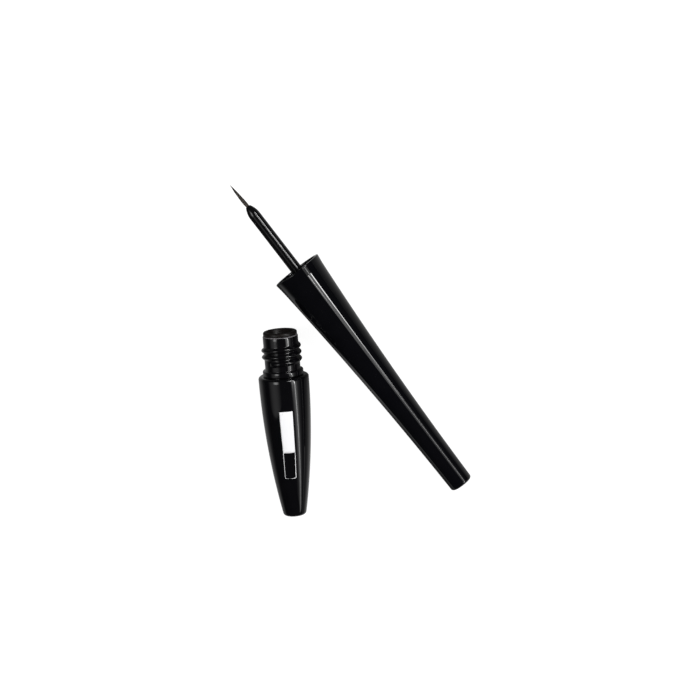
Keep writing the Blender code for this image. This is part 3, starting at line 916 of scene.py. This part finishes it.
# The camera sees the even glow. Mirrored and transmitted rays see only the painted gleam.
shown = seen * (near_glow_share + shaded_outskirts * (1 - near_glow_share)) + (mirrored + through) * painted_gleam
glow = card.node("ShaderNodeEmission", {}, {"Color": (1, 1, 1, 1), "Strength": card_glow})
plain = Signal(card, card.shader.outputs[0])
lit = card.node("ShaderNodeAddShader", {}, {0: plain, 1: glow})
faced = card.node("ShaderNodeMixShader", {}, {"Fac": shown, 1: plain, 2: lit})
card.plug(card.tree.nodes["Material Output"].inputs["Surface"], faced)
table_shape = bmesh.new()
bmesh.ops.create_circle(table_shape, cap_ends=True, segments=96, radius=table_radius)
table_mesh = finished("table", table_shape)
table_mesh.materials.append(card.material)
table = placed("table", table_mesh, Matrix.Translation((0, 0, -table_drop)))

# The studio: along the handle lie a long box between two bright tubes, and a narrow tube for its slim end.
# The neck and the bottle have a box and a tube each in the same line. Soft fills stand at both sides, and one
# overhead lamp, which the pieces don't mirror, lights the table.


def softbox(name, azimuth, slant, width, ends, radiance, along, soft=False, waning=None, distance=0.9):
    """A rectangular lamp that faces the middle of the table from a slant off the vertical, both in degrees.

    azimuth is counted from +X towards +Y. The long side follows along, and ends gives where it ends, as
    distances from the point nearest the table's middle. A soft lamp fades out towards its long sides. A
    waning one falls to a share of its light at its first end: (share, where the fall ends, where it starts).
    """
    azimuth, slant = radians(azimuth), radians(slant)
    first, last = ends
    lamp = bpy.data.lights.new(name, "AREA")
    lamp.shape = "RECTANGLE"
    lamp.size = width
    lamp.size_y = last - first
    lamp.energy = radiance * pi * width * (last - first)
    if soft or waning:
        wiring = Wiring(lamp)
        share = wiring.node("ShaderNodeNewGeometry", output="Parametric")
        aside = share.axis("X")
        strength = (aside * (1 - aside) * 4) ** 2 if soft else 1.0
        if waning:
            least, *fall = waning
            fallen, start = [(place - first) / (last - first) for place in fall]
            strength = (least + share.axis("Y").clear(fallen, start) * (1 - least)) * strength
        wiring.plug(wiring.tree.nodes["Emission"].inputs["Strength"], strength)
    toward = Vector((sin(slant) * cos(azimuth), sin(slant) * sin(azimuth), cos(slant)))
    across = along.cross(toward).normalized()
    upward = toward.cross(across)
    middle = toward * distance + upward * (first + last) / 2
    return placed(name, lamp, matrix_of(middle, across, upward, toward))


handle_side = 33.4
softbox("handle_box", handle_side, 41.6, 0.36, (-0.4, 0.25), 2.4, handle_way, waning=(0.35, -0.275, -0.22))
softbox("outer_tube", handle_side, 50.4, 0.055, (-0.25, 0.25), 26.0, handle_way, waning=(0.25, -0.246, -0.205))
softbox("end_tube", handle_side, 43.5, 0.035, (-0.4, -0.247), 7.5, handle_way)
softbox("inner_tube", handle_side, 35.8, 0.034, (-0.24, 0.1), 20.0, handle_way, waning=(0.0, -0.233, -0.215))
softbox("neck_box", handle_side, 34, 0.36, (-0.7, -0.45), 2.8, handle_way, soft=True)
softbox("neck_tube", handle_side, 43, 0.055, (-0.79, -0.45), 22.0, handle_way, waning=(0.2, -0.79, -0.71))
softbox("bottle_box", handle_side, 42, 0.66, (-2.1, -0.7), 1.5, handle_way, soft=True)
softbox("bottle_tube", handle_side, 43, 0.055, (-2.1, -0.79), 6.5, handle_way, waning=(0.35, -1.8, -1.1))
softbox("right_fill", 2, 60, 0.95, (-0.75, -0.02), 0.35, bottle_way, soft=True)
softbox("left_fill", 180, 40, 1.1, (-0.36, 0.25), 0.5, bottle_way, soft=True)
softbox("neck_fill", 180, 31, 0.5, (-0.218, 0.2), 4.2, bottle_way, soft=True)
overhead = softbox("overhead", 0, 0, 1.5, (-0.75, 0.75), 1.9, Vector((0, 1, 0)), distance=1.3)
overhead.visible_glossy = False
world = bpy.data.worlds.new("studio_air")
bpy.context.scene.world = world
world.use_nodes = True
background = world.node_tree.nodes["Background"]
background.inputs["Color"].default_value = (0.75, 0.77, 0.8, 1)
background.inputs["Strength"].default_value = 0.02

# The camera: a long lens from above and a little to the right of the neck, as the photograph was taken.
view_tilt = radians(9.648)
view_azimuth = radians(52.783)
view_roll = radians(-4.042)
view_distance = 0.7
view_middle = Vector((-0.000725, -0.001207, 0.008))
focal_pixels = 2179.6
picture_pixels = 700
away = Vector((sin(view_tilt) * cos(view_azimuth), sin(view_tilt) * sin(view_azimuth), cos(view_tilt)))
level = Vector((0, 1, 0)).cross(away).normalized()
upright = away.cross(level)
right = level * cos(view_roll) + upright * sin(view_roll)
top = upright * cos(view_roll) - level * sin(view_roll)
lens = bpy.data.cameras.new("studio_camera")
lens.sensor_width = 36
lens.lens = lens.sensor_width * focal_pixels / picture_pixels
lens.clip_start = 0.05
lens.clip_end = 20
camera = placed("studio_camera", lens, matrix_of(view_middle + away * view_distance, right, top, away))
bpy.context.scene.camera = camera
bpy.context.scene.view_settings.view_transform = "Standard"
